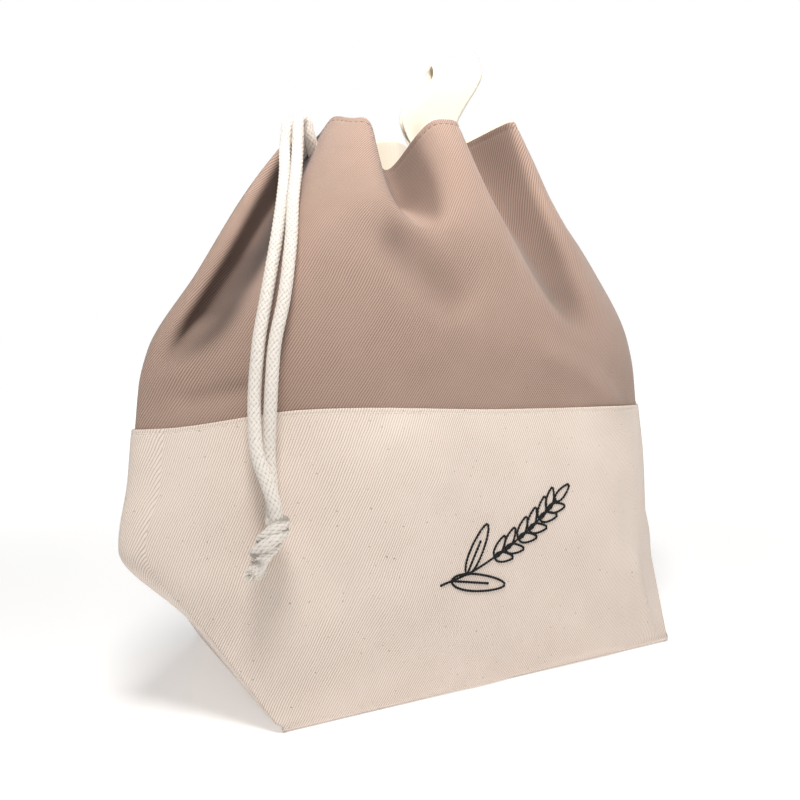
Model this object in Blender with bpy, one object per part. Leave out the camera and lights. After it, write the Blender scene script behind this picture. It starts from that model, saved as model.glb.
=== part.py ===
"""Drawstring bread bag: a twill bag with a flat boxed base, standing open at the mouth.

The bag is sewn flat from two taupe panels and one cream lower cloth, boxed at the base and
drawn in at the mouth.  Its shape is one loft: a row of sections up the bag, each a closed
curve through the points named in SECTIONS, with the gathers of GATHERS and the creases of
CREASES pressed into it.  Every cloth is a strip of that one shape, set in behind the cloth
outside it.

Metres, +Z up, front towards -Y, origin under the middle of the bag.
"""
import bpy
import numpy as np

MM = 0.001

# ---------------------------------------------------------------- driving sizes
CLOTH = 1.0 * MM            # twill, doubled along its hems, and the cotton facing
GAP = 0.35 * MM             # clear space between two cloths
LAYER = CLOTH + GAP         # from one cloth's outer face to the next one's
OVERLAP_ROW = 3.65          # where the taupe ends, behind the cream cloth
SEAM_ROW = 4.0              # where the cream cloth ends, its folded edge sewn down
CLEAR_ROW = 4.8             # where the taupe has come out from behind it
RIM_HEIGHT = 265            # of the mouth, in millimetres
BASE_ROUND = 3 * MM         # turn of the cloth where wall meets base
BASE_TURN = 0.3             # share of that turn at its middle
LOWER_ROWS = np.array([0, 0.35, 0.7, 1, 1.4, 1.8, 2.2, 2.6, 3.1, OVERLAP_ROW, SEAM_ROW])
UPPER_ROWS = np.array([SEAM_ROW, 4.5, 5, 5.5, 6, 6.4, 6.8, 7.2, 7.6, 8.0])    # up to the rim
WING_ROW = 2                # row of SECTIONS where the boxed corner's folds reach the side
BASE_CORNERS = dict(left_front=(-110, -64, 0), left_back=(-110, 67, 0),   # in millimetres
                    right_front=(107, -64, 0), right_back=(107, 67, 0))
ROUNDING = 2                # passes of rounding across the folds
ROUNDED_FROM, ROUNDED_OVER = 140, 60    # height where that begins, and over how much, in mm
TURN_RISE = 0.6             # how far the cloth beside a side seam has risen to its shoulder
SIDE_SHARE = 1 / 12         # of the way round that still counts as front beyond the side seam
GATHER_START = 0.25         # share of a gather's run over which it opens from its foot
PAST_RIM = 1.1              # how far above the rim a gather still grows, as a share of its run
WIDTH_FADE = 0.7            # how soon a gather reaches its width at the rim
DROP_FROM = 0.2             # share of a gather's run where the rim's drop begins
CREASE_FADE = 0.35          # share of a crease's length over which each end dies away
CREASE_SPREAD = 2.0         # how fast a crease falls off sideways, by its half width

# ---------------------------------------------------------------- sections, in millimetres
# One row for each level: left and right are the side seams, front and back the middles, and
# the rest the shoulders between them, each (x, y, z).  turn is half the thickness of the side
# where the front and back cloths meet; sharp is how square the boxed corners are there; rise,
# where given, stands for TURN_RISE.
SECTIONS = [
    dict(name="floor", turn=9, sharp=1.0, left=(-110, 3, 0), front_left=(-80, -64, 0),
         front=(0, -64, 0), front_right=(84, -64, 0), right=(107, 3, 0),
         back_right=(80, 67, 0), back=(0, 67, 0), back_left=(-80, 67, 0)),
    dict(name="knee", turn=9, sharp=0.7, left=(-135, -11, 37), front_left=(-92, -65, 37),
         front=(0, -67, 36), front_right=(86, -61, 32), right=(136, 9, 30),
         back_right=(90, 65, 34), back=(0, 70, 36), back_left=(-92, 63, 37)),
    dict(name="wing", turn=9, sharp=0.2, left=(-166, -25, 74), front_left=(-104, -62, 74),
         front=(0, -68, 71), front_right=(87, -58, 66), right=(165, 15, 60),
         back_right=(96, 59, 67), back=(0, 70, 72), back_left=(-104, 53, 74)),
    dict(name="band", turn=11, sharp=0.0, left=(-161, -19, 100), front_left=(-106, -58, 100),
         front=(0, -66, 100), front_right=(89, -54, 98), right=(166, 18, 93),
         back_right=(98, 57, 97), back=(0, 67, 100), back_left=(-102, 51, 100)),
    dict(name="seam", turn=11, rise=0.1, sharp=0.0, left=(-158, -15, 122),
         front_left=(-103, -53, 130), front=(0, -63, 128), front_right=(90, -50, 126),
         right=(163, 20, 122), back_right=(96, 55, 126), back=(0, 64, 127),
         back_left=(-98, 50, 126)),
    dict(name="chest", turn=12, sharp=0.0, left=(-150, -9, 155), front_left=(-98, -49, 160),
         front=(0, -59, 163), front_right=(86, -46, 161), right=(153, 20, 152),
         back_right=(90, 53, 158), back=(0, 62, 163), back_left=(-92, 50, 160)),
    dict(name="shoulder", turn=13, sharp=0.0, left=(-127, 0, 190), front_left=(-84, -43, 199),
         front=(-2, -52, 203), front_right=(67, -40, 201), right=(128, 20, 188),
         back_right=(78, 52, 196), back=(0, 59, 203), back_left=(-80, 51, 198)),
    dict(name="neck", turn=15, sharp=0.0, left=(-102, 10, 228), front_left=(-68, -33, 236),
         front=(-6, -42, 240), front_right=(46, -31, 240), right=(97, 19, 226),
         back_right=(58, 51, 234), back=(0, 56, 240), back_left=(-62, 51, 236)),
    dict(name="rim", turn=18, sharp=0.0, left=(-80, 15, 258), front_left=(-54, -23, 263),
         front=(-8, -34, 265), front_right=(32, -26, 272), right=(62, 17, 258),
         back_right=(40, 49, 264), back=(-2, 56, 270), back_left=(-46, 51, 266)),
]

# Columns of cloth between one named point and the next, once round from the left side seam.
COLUMNS = [("left", 4), ("left_front_turn", 8), ("front_left", 12), ("front", 11),
           ("front_right", 8), ("right_front_turn", 3), ("right", 3), ("right_back_turn", 5),
           ("back_right", 8), ("back", 8), ("back_left", 5), ("left_back_turn", 3)]

# ---------------------------------------------------------------- gathers, in millimetres
# One row for each valley of the drawn-in mouth.  at: its place along the rim, from the middle
# of its panel, + to the right seen from the front; foot: the same where it fades out, at the
# height foot_z, reached along a path of the given bend.  half: its half widths, left and
# right, at the rim, and foot_half at the foot.  depth at the rim and its heading in degrees
# from +X; drop: how far the rim sinks in it, or stands up; shelf: where it steps in, over step,
# and lip: how much higher at its edges; tail: the share that runs on below, fading by fade.
GATHERS = [
    dict(name="left side", panel="front", at=-80, foot=-160, foot_z=140, bend=0.9,
         half=(14, 10), foot_half=(15, 32), depth=21, heading=50, drop=1,
         shelf=235, step=50, lip=0, tail=1.0, fade=0.45),
    dict(name="left lobe", panel="front", at=-70, foot=-70, foot_z=220, bend=1,
         half=(8, 20), foot_half=(8, 20), depth=0, heading=90, drop=-6,
         shelf=235, step=40, lip=0, tail=0.5, fade=1),
    dict(name="front left", panel="front", at=-29, foot=-33, foot_z=165, bend=0.8,
         half=(16, 12), foot_half=(24, 50), depth=26, heading=82, drop=25,
         shelf=226, step=24, lip=14, tail=0.14, fade=1.5),
    dict(name="front right", panel="front", at=16, foot=66, foot_z=155, bend=0.5,
         half=(15, 30), foot_half=(12, 30), depth=37, heading=82, drop=6,
         shelf=236, step=40, lip=0, tail=0.9, fade=0.85),
    dict(name="right side", panel="front", at=72, foot=104, foot_z=160, bend=0.8,
         half=(11, 14), foot_half=(26, 26), depth=16, heading=150, drop=6,
         shelf=230, step=40, lip=6, tail=0.5, fade=1.5),
    dict(name="back right", panel="back", at=61, foot=84, foot_z=150, bend=0.8,
         half=(17, 14), foot_half=(30, 26), depth=17, heading=-122, drop=5,
         shelf=228, step=40, lip=8, tail=0.45, fade=1.3),
    dict(name="back middle", panel="back", at=1, foot=8, foot_z=140, bend=0.8,
         half=(15, 17), foot_half=(26, 38), depth=24, heading=-100, drop=0,
         shelf=224, step=50, lip=0, tail=0.6, fade=1.3),
    dict(name="back left", panel="back", at=-32, foot=-46, foot_z=168, bend=0.8,
         half=(13, 14), foot_half=(32, 26), depth=23, heading=-80, drop=8,
         shelf=229, step=30, lip=12, tail=0.3, fade=1.5),
    dict(name="back left side", panel="back", at=-62, foot=-92, foot_z=145, bend=0.7,
         half=(12, 16), foot_half=(22, 30), depth=18, heading=-45, drop=7,
         shelf=226, step=50, lip=0, tail=0.6, fade=1.1),
]

# ---------------------------------------------------------------- creases, in millimetres
# One row for each fold that stands out (+) of a panel or dents it (-), from start to end, each
# (across from the panel's middle, up), with its height and its half width.
CREASES = [
    dict(name="under the scoop", panel="front", start=(-52, 212), end=(-18, 176), out=-4, half=20),
    dict(name="lower right", panel="front", start=(22, 158), end=(80, 126), out=3, half=11),
    dict(name="left lip", panel="front", start=(-108, 182), end=(-160, 141), out=2.5, half=8),
    dict(name="left pinch", panel="front", start=(-150, 134), end=(-118, 140), out=-2, half=6),
    dict(name="cord side", panel="front", start=(-104, 128), end=(-92, 40), out=-3, half=20),
    dict(name="belly left", panel="front", start=(-60, 122), end=(-36, 92), out=2, half=16),
    dict(name="belly low", panel="front", start=(-66, 54), end=(-2, 12), out=2.5, half=22),
    dict(name="corner pull", panel="front", start=(84, 50), end=(101, 8), out=2, half=8),
    dict(name="back slant", panel="back", start=(60, 168), end=(104, 128), out=3, half=12),
    dict(name="back slack", panel="back", start=(-70, 150), end=(-20, 96), out=-3, half=22),
    dict(name="back foot", panel="back", start=(30, 88), end=(70, 20), out=-3, half=20),
]

# ---------------------------------------------------------------- hanging loop, in millimetres
# The strip stands up inside the back of the mouth and bends over on itself.  One row for each
# line across it, from its back foot over the top to its front foot: the ends of that line.
LOOP_COLUMNS = (("back_right", 1), ("back_right", 6))     # the columns of lining its feet lie on
LOOP_FOOT_ROWS = (7.5, 8.0)
LOOP = [
    dict(name="back leg", right=(43, 50, 291), left=(6, 50, 287)),
    dict(name="back of the bend", right=(56, 52, 320), left=(24, 52, 314)),
    dict(name="top", right=(53, 47, 334), left=(25, 47, 320)),
    dict(name="front of the bend", right=(57, 41, 319), left=(23, 41, 311)),
    dict(name="front leg", right=(43, 45, 291), left=(5, 44, 287)),
]
LOOP_STEPS = 2              # lines of the mesh to each row of LOOP
LOOP_LEGS = 3.0             # between the legs at the foot, middle to middle

# ---------------------------------------------------------------- cords and knot, in millimetres
CORD_RADIUS = 2.75
CORD_STEPS = 2              # points of the tube to each point of its route
CORDS = dict(
    cord_left=[(-72, 7.5, 249), (-71.5, 7.5, 256.5), (-74.5, 7, 263.8), (-79.5, 4.5, 262.5),
               (-82, 2, 252), (-86, -8, 238), (-92, -20, 222), (-101, -35, 199),
               (-108.5, -44.5, 177), (-114, -49.5, 156), (-117, -53, 134), (-118.5, -59.5, 116),
               (-114, -66.5, 103), (-111.8, -68.5, 94), (-111.8, -68.5, 88.8)],
    cord_right=[(-72, 0, 250), (-71.5, -0.2, 257.5), (-73.7, -1.5, 264.8), (-77.5, -4, 263),
                (-79, -6.5, 251), (-83, -15, 238), (-89, -26, 223), (-96, -40, 199),
                (-102, -48, 177), (-108, -52, 156), (-111, -55.5, 134), (-112.3, -56.5, 116),
                (-115.5, -58.5, 103), (-118, -65.4, 94), (-118, -66.4, 88.8)])
# The knot's own line from the cords down to its frayed ends, and its radius on the way.
KNOT = [
    dict(at=(-115.0, -67.4, 88.2), radius=7.2), dict(at=(-115.0, -67.4, 86.4), radius=8.2),
    dict(at=(-115.8, -67.6, 82.0), radius=8.8), dict(at=(-117.0, -67.8, 77.5), radius=8.4),
    dict(at=(-118.2, -67.6, 74.3), radius=6.2), dict(at=(-119.8, -67, 72.0), radius=3.8),
    dict(at=(-122.0, -66.4, 69.3), radius=3.3), dict(at=(-124.5, -66, 66.0), radius=3.6),
]
KNOT_SIDES = 14
KNOT_STEPS = 2
KNOT_WRAPS = 0.09           # how far its wraps stand out, as a share of its radius
KNOT_WRAP_COUNT = 3
KNOT_WRAP_TURN = 2.6        # how far they run round it from end to end, in radians

TAUPE = (0.42, 0.30, 0.23)
CREAM = (0.80, 0.72, 0.62)
COTTON = (0.83, 0.76, 0.64)
CORD = (0.80, 0.77, 0.70)


def smooth(x):
    """Zero below 0, one above 1, with a level start and end."""
    x = np.clip(x, 0.0, 1.0)
    return x * x * (3.0 - 2.0 * x)


def section_points(row):
    """The twelve named points of one section, in metres, once round from the left side seam."""
    turn, rise = row["turn"], min(row["left"][2] / SECTIONS[WING_ROW]["left"][2], 1.0)
    named = []
    for name, _ in COLUMNS:
        if name in row:
            named.append(row[name])
            continue
        side, face, _ = name.split("_")
        inward, ahead = (1 if side == "left" else -1), (-1 if face == "front" else 1)
        seam = np.array(row[side], float)
        rise_on = row.get("rise", TURN_RISE) * (row[f"{face}_{side}"][2] - seam[2])
        place = seam + np.array([inward * turn, ahead * turn, rise_on])
        if rise < 1.0:
            top = np.array(SECTIONS[WING_ROW][side], float)
            top += np.array([inward * turn, ahead * turn, 0.0])
            foot = np.array(BASE_CORNERS[f"{side}_{face}"], float)
            place = foot + (top - foot) * seam[2] / SECTIONS[WING_ROW][side][2]
        named.append(place)
    return np.array(named, float) * MM


def along_rows(values, rows):
    """Values at whole rows (first axis) read between them by a cubic that never overshoots."""
    step = np.diff(values, axis=0)
    same = step[1:] * step[:-1] > 0
    with np.errstate(divide="ignore", invalid="ignore"):
        inner = np.where(same, 2 * step[1:] * step[:-1] / (step[1:] + step[:-1]), 0.0)
    slope = np.concatenate([step[:1], inner, step[-1:]])
    low = np.clip(np.floor(rows).astype(int), 0, len(values) - 2)
    f = (rows - low).reshape(-1, *[1] * (values.ndim - 1))
    a, b, m, n = values[low], values[low + 1], slope[low], slope[low + 1]
    return (a * (1 + 2 * f) * (1 - f) ** 2 + m * f * (1 - f) ** 2
            + b * f * f * (3 - 2 * f) + n * f * f * (f - 1))


def around(points, square, counts):
    """Closed curves through points (rows x named x 3), with counts steps between neighbours.

    Each stretch is a cubic whose end directions are the mean of its neighbours' chords,
    weighted by length; a square point keeps its own chords, so it stays a corner.
    """
    chord = np.roll(points, -1, axis=1) - points
    length = np.linalg.norm(chord, axis=2, keepdims=True)
    ahead, behind = chord / length, np.roll(chord / length, 1, axis=1)
    before = np.roll(length, 1, axis=1)
    mean = (ahead * before + behind * length) / (before + length)
    leave = mean + (ahead - mean) * square
    arrive = mean + (behind - mean) * square
    curve = []
    for k, count in enumerate(counts):
        f = (np.arange(count) / count)[None, :, None]
        a, b = points[:, k, None], np.roll(points, -1, axis=1)[:, k, None]
        m = (leave[:, k] * length[:, k])[:, None]
        n = (np.roll(arrive, -1, axis=1)[:, k] * length[:, k])[:, None]
        curve.append(a * (1 + 2 * f) * (1 - f) ** 2 + m * f * (1 - f) ** 2
                     + b * f * f * (3 - 2 * f) + n * f * f * (f - 1))
    return np.concatenate(curve, axis=1)


def run_of(grid):
    """The direction round the bag at each point: halfway between its two neighbours' own."""
    ahead = np.roll(grid, -1, axis=1) - grid
    ahead /= np.linalg.norm(ahead, axis=2, keepdims=True)
    return ahead + np.roll(ahead, 1, axis=1)


def plan_normal(grid):
    """Level unit vectors across the rows of a closed grid, pointing out of the bag."""
    run = run_of(grid)
    out = np.stack([run[..., 1], -run[..., 0], np.zeros(run.shape[:2])], axis=2)
    return out / np.linalg.norm(out, axis=2, keepdims=True)


def measured_across(grid):
    """Distance round each row from the middle of the front and of the back panel."""
    step = np.linalg.norm(np.roll(grid, -1, axis=1) - grid, axis=2)
    run = np.concatenate([np.zeros((len(grid), 1)), np.cumsum(step, axis=1)], axis=1)
    starts = np.cumsum([0] + [count for _, count in COLUMNS])
    names = [name for name, _ in COLUMNS]
    front = run[:, :-1] - run[:, starts[names.index("front")]][:, None]
    back = run[:, starts[names.index("back")]][:, None] - run[:, :-1]
    left_half = run[:, -1:] - run[:, :-1] < run[:, -1:] * SIDE_SHARE
    return np.where(left_half, front - run[:, -1:], front), back


def gathered(across_front, across_back, height):
    """How far each point of the cloth moves in and down by the valleys of the mouth."""
    moved = np.zeros((*height.shape, 3))
    for fold in GATHERS:
        front = fold["panel"] == "front"
        across = across_front if front else across_back
        up = (height / MM - fold["foot_z"]) / (RIM_HEIGHT - fold["foot_z"])
        up = np.clip(up, 0, PAST_RIM)
        beside = across / MM - fold["foot"] - (fold["at"] - fold["foot"]) * up ** fold["bend"]
        side = (beside > 0).astype(int)
        half, foot_half = np.array(fold["half"])[side], np.array(fold["foot_half"])[side]
        q = np.clip(np.abs(beside) / (foot_half + (half - foot_half) * up ** WIDTH_FADE), 0, 1)
        shape = 1 - smooth(q)
        shelf = fold["shelf"] + fold["lip"] * q * q
        step_in = smooth((height / MM - shelf) / fold["step"] + 0.5)
        run_on = up ** fold["fade"] * smooth(up / GATHER_START)
        share = fold["tail"] * run_on + (1 - fold["tail"]) * step_in
        square_on = 90 if front else -90
        heading = np.radians(square_on + (fold["heading"] - square_on) * up)
        deep = fold["depth"] * MM * share * shape
        moved[..., 0] += deep * np.cos(heading)
        moved[..., 1] += deep * np.sin(heading)
        moved[..., 2] -= fold["drop"] * MM * shape * smooth((up - DROP_FROM) / (1 - DROP_FROM))
    return moved


def creased(across_front, across_back, height):
    """How far each point stands out of the bag by the creases, rounded across and along."""
    raised = np.zeros(height.shape)
    for fold in CREASES:
        across = across_front if fold["panel"] == "front" else across_back
        start, end = np.array(fold["start"], float), np.array(fold["end"], float)
        run = end - start
        long = np.linalg.norm(run)
        right, up = across / MM - start[0], height / MM - start[1]
        along = (right * run[0] + up * run[1]) / long ** 2
        aside = (right * run[1] - up * run[0]) / long / fold["half"]
        ends = smooth(along / CREASE_FADE + 0.5) * smooth((1 - along) / CREASE_FADE + 0.5)
        raised += fold["out"] * MM * np.exp(-aside ** 2 * CREASE_SPREAD) * ends
    return raised


def rounded(grid, height):
    """The grid with its folds above the band softened across, as a cloth's thickness does."""
    share = smooth((height / MM - ROUNDED_FROM) / ROUNDED_OVER)[..., None]
    for _ in range(ROUNDING):
        mean = (np.roll(grid, 1, axis=1) + 2 * grid + np.roll(grid, -1, axis=1)) / 4
        grid = grid + (mean - grid) * share
    return grid


def bag_cloth(rows, columns=COLUMNS):
    """The outermost face of the bag's cloth, a grid of points: rows up, columns round."""
    named = along_rows(np.array([section_points(row) for row in SECTIONS]), rows)
    sharp = along_rows(np.array([[row["sharp"]] for row in SECTIONS]), rows)
    turned = np.array(["turn" in name for name, _ in columns])
    square = (sharp * turned)[..., None]
    grid = around(named, square, [count for _, count in columns])
    front, back = measured_across(grid)
    raised = creased(front, back, grid[..., 2])[..., None] * plan_normal(grid)
    return rounded(grid + raised + gathered(front, back, grid[..., 2]), grid[..., 2])


def set_in(grid, distance):
    """The grid moved into the bag by a distance for each row, square to its own surface."""
    out = np.cross(run_of(grid), np.gradient(grid, axis=0))
    out /= np.linalg.norm(out, axis=2, keepdims=True)
    return grid - out * np.reshape(distance, (-1, 1, 1))


def behind_band(rows):
    """How far the taupe's outer face is set in, row by row: a layer deep behind the cream."""
    return LAYER * (1 - smooth((rows - SEAM_ROW) / (CLEAR_ROW - SEAM_ROW)))


# ---------------------------------------------------------------- making the pieces
def material(name, colour, roughness=0.9):
    """A plain cloth finish."""
    made = bpy.data.materials.new(name)
    made.use_nodes = True
    shader = made.node_tree.nodes["Principled BSDF"]
    shader.inputs["Base Color"].default_value = (*colour, 1.0)
    shader.inputs["Roughness"].default_value = roughness
    return made


def place(name, mesh, finish):
    """A mesh put into the bag's collection with its finish."""
    mesh.materials.append(finish)
    mesh.shade_smooth()
    piece = bpy.data.objects.new(name, mesh)
    bag.objects.link(piece)
    return piece


def strips(rows, columns, closed):
    """The triangles of a grid of points, two to each square, as an array of three corners."""
    wraps = columns if closed else columns - 1
    row, column = np.meshgrid(np.arange(rows - 1), np.arange(wraps), indexing="ij")
    after = (column + 1) % columns
    low, low_after = row * columns + column, row * columns + after
    high, high_after = low + columns, low_after + columns
    return np.stack([low, low_after, high_after, low, high_after, high], axis=-1).reshape(-1, 3)


def cloth(name, outer, inner, closed, finish, floor=False):
    """A cloth filling the space between its outer and inner face, both grids of points."""
    rows, columns = outer.shape[:2]
    count = rows * columns
    face = strips(rows, columns, closed)
    faces = [face, face[:, ::-1] + count]
    edges = [np.arange(columns) + (rows - 1) * columns]
    if not floor:
        edges.append(np.arange(columns)[::-1])
    if closed:
        edges = [np.append(edge, edge[0]) for edge in edges]
    else:
        edges.append(np.arange(rows) * columns)
        edges.append((np.arange(rows) * columns + columns - 1)[::-1])
    for edge in edges:
        a, b = edge[:-1], edge[1:]
        faces.append(np.stack([a, b, b + count], axis=1))
        faces.append(np.stack([a, b + count, a + count], axis=1))
    faces = np.concatenate(faces).tolist()
    if floor:
        faces += [list(range(columns - 1, -1, -1)), list(range(count, count + columns))]
    mesh = bpy.data.meshes.new(name)
    mesh.from_pydata(np.concatenate([outer.reshape(-1, 3), inner.reshape(-1, 3)]).tolist(), [], faces)
    return place(name, mesh, finish)


def column_of(name):
    """The column where a named point of the sections stands."""
    before = [count for _, count in COLUMNS[:[n for n, _ in COLUMNS].index(name)]]
    return sum(before)


def lower_cloth():
    """The cream cloth: the base and the wall up to the seam, in one piece."""
    wall = bag_cloth(LOWER_ROWS)
    out = plan_normal(wall[:1])[0]
    rise = np.array([0, 0, BASE_ROUND])
    flat = wall[0] - out * BASE_ROUND
    turn = wall[0] + (rise - out * BASE_ROUND) * BASE_TURN
    grid = np.concatenate([[flat, turn, wall[0] + rise], wall[1:]])
    return cloth("lower_cloth", grid, set_in(grid, np.full(len(grid), CLOTH)), True, cream, floor=True)


def upper_panels():
    """The taupe front and back panels, meeting at the side seams, tucked behind the cream."""
    rows = np.array([OVERLAP_ROW, *UPPER_ROWS])
    grid = bag_cloth(rows)
    depth = behind_band(rows)
    outer, inner = set_in(grid, depth), set_in(grid, depth + CLOTH)
    left, right = column_of("left"), column_of("right")
    for name, columns in (("front_panel", range(left, right + 1)),
                          ("back_panel", [*range(right, grid.shape[1]), left])):
        faces = []
        for face in (outer, inner):
            face = face[:, columns].copy()
            for end, beside in ((0, 1), (-1, -2)):
                run = face[:, beside] - face[:, end]
                face[:, end] += run / np.linalg.norm(run, axis=1, keepdims=True) * GAP
            faces.append(face)
        cloth(name, *faces, False, taupe)


def lining():
    """The cream cotton facing inside the mouth, down to the seam."""
    grid = bag_cloth(UPPER_ROWS)
    depth = behind_band(UPPER_ROWS) + LAYER
    return cloth("lining", set_in(grid, depth), set_in(grid, depth + CLOTH), True, cotton)


def between(points, steps):
    """Points read along a smooth curve through a few, steps to each stretch between them."""
    points = np.array(points, float) * MM
    return along_rows(points, np.linspace(0, len(points) - 1, (len(points) - 1) * steps + 1))


def hanging_loop():
    """The cotton strip, its feet laid on the lining's inner face, bent over at the top."""
    foot = bag_cloth(np.array(LOOP_FOOT_ROWS))
    first, last = [column_of(name) + more for name, more in LOOP_COLUMNS]
    on_lining = LAYER + CLOTH + GAP
    line = [set_in(foot, np.full(2, on_lining + more))[:, first:last + 1]
            for more in (0, LOOP_LEGS * MM)]
    across = np.linspace(0, 1, last + 1 - first)[:, None]
    bend = [(np.array(row["right"]) * (1 - across) + np.array(row["left"]) * across) * MM
            for row in LOOP]
    rows = np.array([*line[0], *bend, *line[1][::-1]])
    grid = along_rows(rows, np.linspace(0, len(rows) - 1, (len(rows) - 1) * LOOP_STEPS + 1))
    wall = np.cross(np.gradient(grid, axis=1), np.gradient(grid, axis=0))
    wall /= np.linalg.norm(wall, axis=2, keepdims=True)
    return cloth("hanging_loop", grid, grid - wall * CLOTH, False, cotton)


def cord(name):
    """One strand of the drawstring, a tube along its route."""
    curve = bpy.data.curves.new(name, "CURVE")
    curve.dimensions = "3D"
    curve.bevel_depth = CORD_RADIUS * MM
    curve.bevel_resolution = 2
    curve.use_fill_caps = True
    route = between(CORDS[name], CORD_STEPS)
    line = curve.splines.new("POLY")
    line.points.add(len(route) - 1)
    for point, place_at in zip(line.points, route):
        point.co = (*place_at, 1.0)
    curve.materials.append(braid)
    piece = bpy.data.objects.new(name, curve)
    bag.objects.link(piece)
    return piece


def knot():
    """The knot: rings round its own line, raised where its wraps cross them aslant."""
    line = between([row["at"] for row in KNOT], KNOT_STEPS)
    radius = between([(row["radius"], 0, 0) for row in KNOT], KNOT_STEPS)[:, 0]
    ahead = np.gradient(line, axis=0)
    ahead /= np.linalg.norm(ahead, axis=1, keepdims=True)
    side = np.cross(ahead, (0, 1, 0))
    side /= np.linalg.norm(side, axis=1, keepdims=True)
    front = np.cross(ahead, side)
    turn = np.linspace(0, 2 * np.pi, KNOT_SIDES, endpoint=False)[None, :, None]
    along = np.linspace(0, 1, len(line))[:, None, None]
    wraps = 1 + KNOT_WRAPS * np.cos(KNOT_WRAP_COUNT * (turn + along * KNOT_WRAP_TURN))
    ring = side[:, None] * np.cos(turn) + front[:, None] * np.sin(turn)
    grid = line[:, None] + ring * radius[:, None, None] * wraps
    faces = strips(*grid.shape[:2], True).tolist()
    count = grid.shape[0] * KNOT_SIDES
    faces += [list(range(KNOT_SIDES - 1, -1, -1)), list(range(count - KNOT_SIDES, count))]
    mesh = bpy.data.meshes.new("cord_knot")
    mesh.from_pydata(grid.reshape(-1, 3).tolist(), [], faces)
    return place("cord_knot", mesh, braid)


for thing in list(bpy.data.objects):
    bpy.data.objects.remove(thing)
bag = bpy.data.collections.new("linen_bread_bag")
bpy.context.scene.collection.children.link(bag)
taupe = material("taupe_twill", TAUPE)
cream = material("cream_twill", CREAM)
cotton = material("cream_cotton", COTTON)
braid = material("cotton_braid", CORD)

lower_cloth()
upper_panels()
lining()
hanging_loop()
for strand in CORDS:
    cord(strand)
knot()
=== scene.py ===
"""Drawstring bread bag: taupe and cream twill over a boxed base, gathered at the mouth."""

import bpy
import numpy as np
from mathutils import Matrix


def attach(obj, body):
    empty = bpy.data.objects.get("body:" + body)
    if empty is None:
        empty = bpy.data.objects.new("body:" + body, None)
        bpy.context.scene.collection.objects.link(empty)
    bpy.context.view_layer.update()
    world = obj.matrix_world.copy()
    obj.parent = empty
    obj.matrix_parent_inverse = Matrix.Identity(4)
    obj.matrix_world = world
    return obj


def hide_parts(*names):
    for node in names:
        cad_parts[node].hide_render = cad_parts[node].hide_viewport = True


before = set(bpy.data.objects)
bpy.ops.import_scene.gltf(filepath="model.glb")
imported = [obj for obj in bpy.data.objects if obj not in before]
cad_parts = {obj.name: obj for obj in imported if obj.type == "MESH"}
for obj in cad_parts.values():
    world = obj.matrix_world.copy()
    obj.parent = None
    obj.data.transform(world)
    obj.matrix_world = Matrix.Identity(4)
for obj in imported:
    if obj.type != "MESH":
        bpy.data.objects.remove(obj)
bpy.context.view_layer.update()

# ---------------------------------------------------------------- camera, floor and light
# A plain white floor under soft, even light: a lamp high in front, a weak one on the right,
# one on the mouth, and a pale surround.  The camera stands low before the bag's left side.
scene = bpy.context.scene
scene.view_settings.view_transform = "Standard"
lens = bpy.data.cameras.new("camera")
lens.lens = 36.5
lens.clip_start = 0.01
camera = bpy.data.objects.new("camera", lens)
camera.location = (-0.222, -0.367, 0.156)
camera.rotation_euler = np.radians((86.4, 0.0, -28.7))
scene.collection.objects.link(camera)
scene.camera = camera


def node(tree, kind, settings=None, **inputs):
    """A node put into a tree, with its settings, and its inputs: values or other outputs.

    An input goes by its name, with _ for a space, or by its number, as in_0.
    """
    made = tree.nodes.new(kind)
    for name, value in (settings or {}).items():
        setattr(made, name, value)
    for name, value in inputs.items():
        number = name[3:] if name.startswith("in_") else ""
        socket = made.inputs[int(number) if number else name.replace("_", " ")]
        if isinstance(value, bpy.types.NodeSocket):
            tree.links.new(value, socket)
        else:
            socket.default_value = value
    return made


def sum_of(tree, operation, first, second=0.0, third=0.0):
    """The output of one Math node of two or three terms."""
    made = node(tree, "ShaderNodeMath", {"operation": operation},
                in_0=first, in_1=second, in_2=third)
    return made.outputs[0]


def unit(vectors):
    """Vectors made one long, along their last axis."""
    return vectors / np.maximum(np.linalg.norm(vectors, axis=-1, keepdims=True), 1e-12)


def lamp(name, place, aim, size, power, tint, spread=180):
    """A square soft lamp at a place, turned to face a point, its light within the spread."""
    light = bpy.data.lights.new(name, "AREA")
    light.size, light.energy, light.color, light.spread = size, power, tint, np.radians(spread)
    lit = bpy.data.objects.new(name, light)
    lit.location = place
    ahead = np.array(aim, float) - place
    turn = np.arctan2(ahead[0], ahead[1])
    lit.rotation_euler = (np.pi / 2 + np.arctan2(ahead[2], np.hypot(ahead[0], ahead[1])), 0, -turn)
    scene.collection.objects.link(lit)


lamp("key_light", (-0.2, -0.27, 0.68), (0, 0, 0.15), 0.18, 3.1, (1.0, 0.985, 0.96))
lamp("right_fill", (0.5, -0.42, 0.3), (0.08, 0, 0.12), 0.3, 0.7, (1.0, 0.98, 0.96))
lamp("mouth_light", (-0.12, -0.3, 0.56), (-0.01, -0.02, 0.33), 0.1, 0.13, (1.0, 0.985, 0.97),
     spread=48)
world = bpy.data.worlds.new("studio")
scene.world = world
world.use_nodes = True
sky = world.node_tree
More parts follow.
